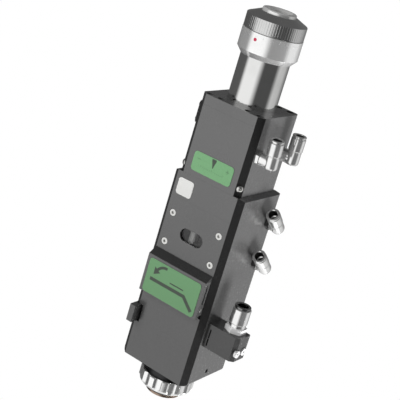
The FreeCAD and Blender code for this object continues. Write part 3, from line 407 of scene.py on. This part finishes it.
film = {
    "fleckScale": 900.0,
    "fleckTone": 0.9,
    "fleckSpan": (0.5, 0.8),
    "fleckShare": 0.4,
    "rough": 0.45,
    "roughSpread": 0.15,
    "relief": (0.06, 0.00005),
    "edgeRadius": 0.0001,
}


def printedFilm(name, top, low, heights):
    # a label film, painted darker towards its lower edge: painted shade
    f = Finish(name)
    base = f.mix(rgba(*low), rgba(*top), f.z.between(*heights))
    fleck = f.noise(f.place, film["fleckScale"])
    flecked = fleck.between(*film["fleckSpan"]) * film["fleckShare"]
    base = f.mix(base, dimmed(low, film["fleckTone"]), flecked)
    level = film["rough"] + (fleck - 0.5) * film["roughSpread"]
    normal = f.rounded(film["edgeRadius"], fleck, film["relief"])
    return f.finish({"Base Color": base, "Roughness": level, "Normal": normal})


glass = {
    "dustScale": 500.0,
    "dustSpan": (0.6, 0.8),
    "rough": 0.02,
    "dustRough": 0.05,
    "edgeRadius": 0.0001,
    "index": 1.46,
}


def clearGlass(name, tint):
    f = Finish(name)
    dust = f.noise(f.place, glass["dustScale"])
    level = glass["rough"] + dust.between(*glass["dustSpan"]) * glass["dustRough"]
    return f.finish({"Base Color": rgba(*tint), "Roughness": level, "Normal": f.rounded(glass["edgeRadius"]),
                     "Transmission Weight": 1.0, "IOR": glass["index"]})


# turned metals: colour, roughness, its spread, fineness of the rings, and the radius of the edges
finishes = {
    "housing_grey": anodisedGrey("greyAnodised", anodised),
    "top_dark": anodisedGrey("plateAnodised", anodised, paintedShadeAbove=(0.1648, 0.16)),   # its top face painted darker: painted shade
    "black_anodised": turnedMetal("blackAnodised", (0.045, 0.045, 0.046), 0.30, 0.12, 900.0),
    "dark_nickel": turnedMetal("darkNickel", (0.70, 0.70, 0.695), 0.18, 0.06, 900.0),
    "polished_steel": turnedMetal("polishedSteel", (0.80, 0.80, 0.79), 0.12, 0.04, 1500.0),
    "satin_steel": turnedMetal("satinSteel", (0.74, 0.74, 0.73), 0.20, 0.08, 1200.0),
    "nickel": turnedMetal("nickelPlate", (0.93, 0.93, 0.925), 0.09, 0.04, 700.0, metallic=0.92),
    "screw_steel": turnedMetal("screwSteel", (0.74, 0.74, 0.72), 0.26, 0.10, 900.0, 0.0001),
    "screw_black": turnedMetal("screwBlack", (0.02, 0.02, 0.02), 0.35, 0.10, 900.0, 0.0001),
    "aluminium_inner": turnedMetal("innerAluminium", (0.62, 0.62, 0.63), 0.34, 0.12, 1100.0),
    "brass_part": turnedMetal("turnedBrass", (0.74, 0.54, 0.24), 0.25, 0.10, 1100.0),
    "motor_case": turnedMetal("motorCase", (0.48, 0.48, 0.49), 0.34, 0.12, 800.0),
    "nozzle_copper": turnedMetal("nozzleCopper", (0.36, 0.27, 0.215), 0.24, 0.10, 1300.0),
    "indicator_grey": turnedMetal("indicatorStrip", (0.80, 0.80, 0.79), 0.36, 0.08, 900.0, metallic=0.5),
    "red_paint": mouldedPlastic("redFill", (0.55, 0.02, 0.07), 0.35),
    "collar_plastic": mouldedPlastic("collarPlastic", (0.022, 0.022, 0.024), 0.22),
    "ceramic_dark": mouldedPlastic("firedCeramic", (0.07, 0.07, 0.07), 0.35, 1400.0),
    "badge_white": printedFilm("whiteFilm", (0.86, 0.86, 0.84), (0.82, 0.82, 0.80), (0.07, 0.09)),
    "label_green": printedFilm("greenFilm", (0.205, 0.44, 0.215), (0.155, 0.33, 0.16), (-0.02, 0.115)),
    "optic_glass": clearGlass("opticGlass", (0.93, 0.98, 0.97)),
    "pane_clear": clearGlass("smokedPane", (0.55, 0.55, 0.55)),
}

# pieces whose finish differs from the rest of their slot
ownFinishes = {
    "index_ring": turnedMetal("ringAluminium", (0.98, 0.98, 0.975), 0.18, 0.03, 1500.0, metallic=0.79),
    # the gas block painted darker by the tone 0.68: painted shade
    "gas_block": anodisedGrey("blockAnodised", anodised, 0.68),
    "clamp_lever": anodisedGrey("leverAnodised", anodised, paintedShadeAbove=(0.0142, 0.072)),     # its sloped top painted darker: painted shade
    "gas_block_screws": turnedMetal("brightScrews", (0.80, 0.80, 0.80), 0.35, 0.10, 900.0, metallic=0.5),
    "receptacle_rim": turnedMetal("rimSteel", (0.88, 0.88, 0.87), 0.20, 0.06, 1500.0, metallic=0.6),
    "release_collar_gas": turnedMetal("glossyCollar", (0.30, 0.30, 0.30), 0.16, 0.06, 700.0),
    "gas_fitting": turnedMetal("fittingNickel", (0.93, 0.93, 0.925), 0.09, 0.04, 700.0, metallic=0.92,
                               paintedLightBelow=(-0.0212, 0.95, 0.2)),     # its hexagon painted near white: painted highlight
    "elbow_stems": turnedMetal("stemNickel", (0.93, 0.93, 0.925), 0.09, 0.04, 700.0, metallic=0.92,
                               paintedLightBelow=(0.1, 0.10, 0.9)),         # the lower pair painted dark: painted shade
}

for name, node in nodes.items():
    for slot in node.material_slots:
        slot.material = ownFinishes.get(name) or finishes[slot.material.name]
print("finishes laid on", len(nodes), "nodes")


class PartTree(Graph):
    # a Geometry Nodes tree with named inputs; every tree ends in Realize Instances and Set Material
    kinds = {int: "NodeSocketInt", float: "NodeSocketFloat"}

    def __init__(self, name, values):
        tree = bpy.data.node_groups.new(name, "GeometryNodeTree")
        super().__init__(tree)
        self.values = values
        tree.interface.new_socket("Geometry", in_out="OUTPUT", socket_type="NodeSocketGeometry")
        for label, value in values.items():
            tree.interface.new_socket(label, in_out="INPUT", socket_type=self.kinds[type(value)])
        self.entry = tree.nodes.new("NodeGroupInput")

    def value(self, label):
        return Wire(self, self.entry.outputs[label])

    def close(self, geometry, material):
        real = self.node("GeometryNodeRealizeInstances", None, {"Geometry": geometry})
        coated = self.node("GeometryNodeSetMaterial", None, {"Geometry": real, "Material": material})
        self.node("NodeGroupOutput", None, {0: coated})

    def build(self, name, matrix=None):
        # the tree's result as a plain mesh, with its place in the mesh
        made = bpy.data.objects.new(name, bpy.data.meshes.new(name + "Start"))
        bpy.context.scene.collection.objects.link(made)
        modifier = made.modifiers.new("parts", "NODES")
        modifier.node_group = self.tree
        for item in self.tree.interface.items_tree:
            if item.in_out == "INPUT":
                modifier[item.identifier] = self.values[item.name]
        ready = made.evaluated_get(bpy.context.evaluated_depsgraph_get())
        mesh = bpy.data.meshes.new_from_object(ready)
        made.modifiers.clear()
        mesh.name = name
        mesh.transform(matrix or Matrix.Identity(4))
        made.data = mesh
        return made


def tickRow(name, values, material):
    # bars along X, every few of them longer, all standing on one line
    t = PartTree(name, values)
    place = t.xyz(t.value("Spacing") * -0.5 * (t.value("Count") - 1.0))
    line = t.node("GeometryNodeMeshLine", None,
                  {"Count": t.value("Count"), "Start Location": place, "Offset": t.xyz(t.value("Spacing"))})
    size = t.xyz(t.value("Width"), t.value("Thickness"), t.value("Length"))
    bar = t.node("GeometryNodeMeshCube", None, {"Size": size})
    lift = t.xyz(0.0, 0.0, t.value("Length") * 0.5)
    bar = t.node("GeometryNodeTransform", None, {"Geometry": bar, "Translation": lift})
    index = t.node("GeometryNodeInputIndex")
    long = (index % t.value("Long Every")) < 0.5
    stretch = t.xyz(1.0, 1.0, 1.0 + long * t.value("Extra"))
    bars = t.node("GeometryNodeInstanceOnPoints", None, {"Points": line, "Instance": bar, "Scale": stretch})
    t.close(bars, material)
    return t


def ringRow(name, values, material):
    # bars round a ring, each standing upright on the ring's outside
    t = PartTree(name, values)
    sockets = {"Vertices": t.value("Count"), "Radius": t.value("Radius")}
    ring = t.node("GeometryNodeMeshCircle", None, sockets)
    size = t.xyz(t.value("Thickness"), t.value("Width"), t.value("Length"))
    bar = t.node("GeometryNodeMeshCube", None, {"Size": size})
    turn = t.node("GeometryNodeInputIndex") * (2 * math.pi) / t.value("Count")
    bars = t.node("GeometryNodeInstanceOnPoints", None,
                  {"Points": ring, "Instance": bar, "Rotation": t.xyz(0.0, 0.0, turn)})
    t.close(bars, material)
    return t


def wholePiece(name, shape, material, matrix):
    # a closed form, normals outwards, as an object with its place in the mesh
    bmesh.ops.recalc_face_normals(shape, faces=shape.faces)
    mesh = bpy.data.meshes.new(name)
    shape.to_mesh(mesh)
    shape.free()
    mesh.transform(matrix or Matrix.Identity(4))
    mesh.materials.append(material)
    made = bpy.data.objects.new(name, mesh)
    bpy.context.scene.collection.objects.link(made)
    return made


def plateFrom(name, outline, depths, material, matrix=None):
    # a flat piece with its outline in X and Z, between two places along Y
    shape = bmesh.new()
    front, back = [[shape.verts.new((x, y, z)) for x, z in outline] for y in depths]
    shape.faces.new(front)
    shape.faces.new(list(reversed(back)))
    for i in range(len(outline)):
        j = (i + 1) % len(outline)
        shape.faces.new((front[j], front[i], back[i], back[j]))
    return wholePiece(name, shape, material, matrix)


def turnedPiece(name, profile, material, matrix=None, steps=64):
    # a closed profile of radius and height in metres, turned round the Z axis
    shape = bmesh.new()
    rows = []
    for i in range(steps):
        turn = 2 * math.pi * i / steps
        rows.append([shape.verts.new((r * math.cos(turn), r * math.sin(turn), z)) for r, z in profile])
    for i in range(steps):
        here, after = rows[i], rows[(i + 1) % steps]
        for j in range(len(profile)):
            k = (j + 1) % len(profile)
            shape.faces.new((here[j], after[j], after[k], here[k]))
    return wholePiece(name, shape, material, matrix)


def fit(piece, body):
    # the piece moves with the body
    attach(piece, body)


def scaledOutline(points):
    return [(x * mm, z * mm) for x, z in points]


def barOutline(x0, x1, z0, z1):
    return scaledOutline([(x0, z0), (x1, z0), (x1, z1), (x0, z1)])


printInk = mouldedPlastic("printInk", (0.055, 0.07, 0.055), 0.45)
faintInk = mouldedPlastic("faintInk", (0.12, 0.25, 0.13), 0.45)
engraved = turnedMetal("engravedMark", (0.82, 0.82, 0.82), 0.34, 0.10, 900.0, metallic=0.7)
darkLining = mouldedPlastic("darkLining", (0.03, 0.03, 0.03), 0.14)

# prints are thin plates let into a label: how far they stand out of it and reach into it, in millimetres
printDepth = {"out": 0.05, "into": 0.02}


def printDepths(face):
    return (face - printDepth["out"]) * mm, (face + printDepth["into"]) * mm


upperLabel = {
    "face": -67.4,         # Y of the label's face, in millimetres as all its sizes
    "pointer": [(-2.2, 115.6), (2.3, 115.6), (2.2, 113.6), (1.2, 110.6), (0.6, 107.4), (-0.1, 107.4),
                (-0.9, 110.6), (-2.0, 113.6)],
    "tickFoot": 103.9,
    "tickOut": 0.015,      # the middle of a tick stands this far out of the label
    "ticks": {"Count": 13, "Long Every": 6, "Spacing": 1.9 * mm, "Width": 0.34 * mm, "Thickness": 0.07 * mm,
              "Length": 1.1 * mm, "Extra": 0.8},
    "signs": [(-14.9, 110.4), (15.3, 110.2)],     # a minus and a plus
    "signLong": 3.6,
    "signThick": 0.55,
    "stemOut": 0.01,       # the upright of the plus stands out further than its bar
}


def makeUpperScale(values):
    front, back = printDepths(values["face"])
    pointer = scaledOutline(values["pointer"])
    fit(plateFrom("scalePointer", pointer, (front, back), printInk), "head")
    row = tickRow("scaleTicks", values["ticks"], faintInk)
    place = Matrix.Translation((0.0, (values["face"] - values["tickOut"]) * mm, values["tickFoot"] * mm))
    fit(row.build("scaleTicks", place), "head")
    half, thick = values["signLong"] / 2, values["signThick"] / 2
    for number, (x, z) in enumerate(values["signs"]):
        bar = barOutline(x - half, x + half, z - thick, z + thick)
        fit(plateFrom("signBar%d" % number, bar, (front, back), faintInk), "head")
    x, z = values["signs"][-1]
    stem = barOutline(x - thick, x + thick, z - half, z + half)
    depths = (front - values["stemOut"] * mm, back)
    fit(plateFrom("signStem", stem, depths, faintInk), "head")


leverPrint = {
    "face": -75.8,         # Y of the label's face at the knee of the lever's cover, in millimetres
    "knee": 14.0,          # height of the knee
    "lean": (0.3, 36.0),   # the label leans back by the first length over the second
    "bar": [(-23.6, -8.6), (13.4, -8.6), (24.0, -18.0), (26.4, -15.6), (14.9, -5.4), (-23.6, -5.4)],
    "line": [(-2.6, -2.7), (12.4, -2.7), (12.4, -1.6), (-2.6, -1.6)],
    "arcCentre": (-9.6, -1.6),
    "arcRadius": 9.8,
    "arcTurn": (84.0, 150.0),
    "arcSteps": 16,
    "arcWide": 2.5,
    "headLong": 6.2,
    "headWide": 7.6,
}


def curvedArrow(values):
    # outline of a bent stroke with a head at its left end
    cx, cz = values["arcCentre"]

    def spot(radius, turn, ahead=0.0):
        return (cx + radius * math.cos(turn) - ahead * math.sin(turn),
                cz + radius * math.sin(turn) + ahead * math.cos(turn))

    radius, half, wide = values["arcRadius"], values["arcWide"] / 2, values["headWide"] / 2
    first, last = values["arcTurn"]
    steps = values["arcSteps"]
    turns = [math.radians(first + (last - first) * i / steps) for i in range(steps + 1)]
    outer = [spot(radius + half, turn) for turn in turns]
    inner = [spot(radius - half, turn) for turn in turns]
    end = turns[-1]
    head = [spot(radius + wide, end), spot(radius, end, values["headLong"]), spot(radius - wide, end)]
    return outer + head + inner[::-1]


def makeLeverPrint(values):
    hinge = Matrix.Translation((0.0, values["face"] * mm, values["knee"] * mm))
    tilt = hinge @ Matrix.Rotation(math.atan2(*values["lean"]), 4, "X") @ hinge.inverted()
    outlines = {"leverBar": values["bar"], "leverLine": values["line"], "leverArrow": curvedArrow(values)}
    for name, outline in outlines.items():
        made = plateFrom(name, scaledOutline(outline), printDepths(values["face"]), printInk, tilt)
        fit(made, "lever")


ringMarks = {
    "height": 224.9,       # middle of the marks, in millimetres
    "inputs": {"Count": 24, "Radius": 26.48 * mm, "Width": 0.45 * mm, "Thickness": 0.08 * mm,
               "Length": 1.3 * mm},
}


def makeRingMarks(values):
    row = ringRow("ringMarks", values["inputs"], engraved)
    place = Matrix.Translation((0.0, axisY, values["height"] * mm))
    fit(row.build("ringMarks", place), "head")


indicatorScale = {
    "middle": (-4.4, -62.32, 43.25),     # in millimetres, on the strip behind the sight window
    "inputs": {"Count": 24, "Long Every": 5, "Spacing": 1.0 * mm, "Width": 0.3 * mm, "Thickness": 0.08 * mm,
               "Length": 1.5 * mm, "Extra": 0.8},
}


def makeIndicatorScale(values):
    row = tickRow("indicatorScale", values["inputs"], printInk)
    spot = [length * mm for length in values["middle"]]
    place = Matrix.Translation(spot) @ Matrix.Rotation(math.radians(90.0), 4, "Y")
    fit(row.build("indicatorScale", place), "carriage")


elbows = {
    # where the axes of leg and barrel meet, in millimetres, the barrel's lean to the front in degrees,
    # and the far end of the leg along its axis
    "upper_front": (45.5, -54.8, 130.2, 5.0, -9.6),
    "upper_rear": (45.5, -18.8, 131.0, 0.5, -9.6),
    "lower_top": (47.0, -8.6, 65.4, 49.0, -6.0),
    "lower_bottom": (47.0, -8.6, 25.4, 50.5, -6.0),
}

elbowTrim = {
    # radius and distance along the axis, in millimetres
    "collet": [(4.04, 7.0), (4.04, 20.7), (3.97, 20.7), (3.97, 7.0)],
    "stop": [(3.95, 11.4), (3.95, 12.4), (2.9, 11.9), (2.9, 11.4)],     # below the reach of the tube
    "sleeveRim": [(5.33, 0.0), (5.7, 0.0), (6.0, 0.3)],                 # from the leg's far end
    "sleeve": [(6.0, -3.6), (5.85, -2.4), (5.5, -1.4), (5.33, -1.2)],   # from the barrel's axis
}


def makeElbowTrim(places, values):
    # a dark collet and a stop in each mouth, and a sleeve that makes the leg as thick as the barrel
    for name, (x, y, z, lean, legEnd) in places.items():
        upright = Matrix.Translation((x * mm, y * mm, z * mm)) @ Matrix.Rotation(math.radians(lean), 4, "X")
        along = upright @ Matrix.Rotation(math.radians(90.0), 4, "Y")
        rim = [(radius, legEnd + step) for radius, step in values["sleeveRim"]]
        sleeve = scaledOutline(rim + values["sleeve"])
        made = turnedPiece("lining_" + name, scaledOutline(values["collet"]), darkLining, upright)
        fit(made, "collar_" + name)
        made = turnedPiece("stop_" + name, scaledOutline(values["stop"]), finishes["dark_nickel"], upright)
        fit(made, "collar_" + name)
        made = turnedPiece("sleeve_" + name, sleeve, finishes["nickel"], along)
        fit(made, "elbow_" + name)


# both rings: Steps are the points round the ring, Cutter is the radius of the round cutter
lockRing = {
    # radius and height in millimetres, and 1 where the grooves cut the outside back
    "profile": [(17.3, -114.3, 0), (23.6, -114.3, 1), (24.5, -113.5, 1), (26.0, -111.3, 1),
                (26.0, -102.1, 1), (25.3, -101.2, 1), (23.4, -101.2, 0), (23.4, -103.8, 0),
                (21.05, -104.6, 0), (21.05, -112.6, 0), (17.3, -112.6, 0)],
    "inputs": {"Steps": 720, "Grooves": 12, "Radius": 26.0 * mm, "Cutter": 7.6 * mm, "Depth": 1.6 * mm},
}

knurledCollar = {
    "profile": [(23.4, 228.3, 0), (26.3, 228.3, 0), (26.3, 229.1, 0), (26.3, 229.1, 1), (26.3, 239.4, 1),
                (26.3, 239.4, 0), (26.3, 239.6, 0), (25.8, 240.1, 0), (16.2, 244.6, 0), (14.85, 244.6, 0),
                (14.85, 240.0, 0), (18.4, 238.4, 0), (23.4, 236.6, 0)],
    "inputs": {"Steps": 1152, "Grooves": 72, "Radius": 26.3 * mm, "Cutter": 0.8 * mm, "Depth": 0.08 * mm},
}


weldDistance = 0.001 * mm


def outwards(piece):
    shape = bmesh.new()
    shape.from_mesh(piece.data)
    bmesh.ops.recalc_face_normals(shape, faces=shape.faces)
    shape.to_mesh(piece.data)
    shape.free()
    return piece


def groovedRing(name, values, material):
    # a turned profile whose outside is cut back by round grooves set evenly about the axis
    t = PartTree(name, values["inputs"])
    points = values["profile"]
    steps, grooves, cutter = t.value("Steps"), t.value("Grooves"), t.value("Cutter")
    count = len(points)
    grid = t.node("GeometryNodeMeshGrid", None, {"Vertices X": steps + 1.0, "Vertices Y": count + 1})
    index = t.node("GeometryNodeInputIndex")
    column = (index / (count + 1.0)).apply("FLOOR")
    row = (index - column * (count + 1.0)) % float(count)
    radius, height, plain = 0.0, 0.0, 0.0
    for number, (r, z, grooved) in enumerate(points):
        here = (row - float(number)).size() < 0.5
        radius = here * (r * mm) + radius
        height = here * (z * mm) + height
        plain = here * (1.0 - grooved) + plain
    turn = column * (2 * math.pi) / steps
    pitch = (2 * math.pi) / grooves
    offset = (turn % pitch) - pitch * 0.5
    # each groove is the near side of a round cutter whose axis stands centre away from the ring's axis
    centre = t.value("Radius") + cutter - t.value("Depth")
    side = centre * offset.apply("SINE")
    reach = cutter * cutter - side * side
    cut = centre * offset.apply("COSINE") - reach.positive().apply("SQRT")
    cut = cut + (reach < 0.0) + plain       # where nothing is cut, far more than any radius
    radius = radius.maths("MINIMUM", radius, cut)
    place = t.xyz(radius * turn.apply("COSINE"), radius * turn.apply("SINE"), height)
    body = t.node("GeometryNodeSetPosition", None, {"Geometry": grid, "Position": place})
    body = t.node("GeometryNodeMergeByDistance", None, {"Geometry": body, "Distance": weldDistance})
    t.close(body, material)
    return outwards(t.build(name, Matrix.Translation((0.0, axisY, 0.0))))


makeUpperScale(upperLabel)
makeLeverPrint(leverPrint)
makeRingMarks(ringMarks)
makeIndicatorScale(indicatorScale)
makeElbowTrim(elbows, elbowTrim)
ringSteel = turnedMetal("lockRingSteel", (0.97, 0.97, 0.965), 0.13, 0.05, 1200.0, metallic=0.94)
ring = groovedRing("flutedLockRing", lockRing, ringSteel)
fit(ring, "nozzle_ring")
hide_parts("nozzle_lock_ring")
collar = groovedRing("knurledCollar", knurledCollar, finishes["dark_nickel"])
fit(collar, "collar")
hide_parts("lock_collar")
print("added pieces made")
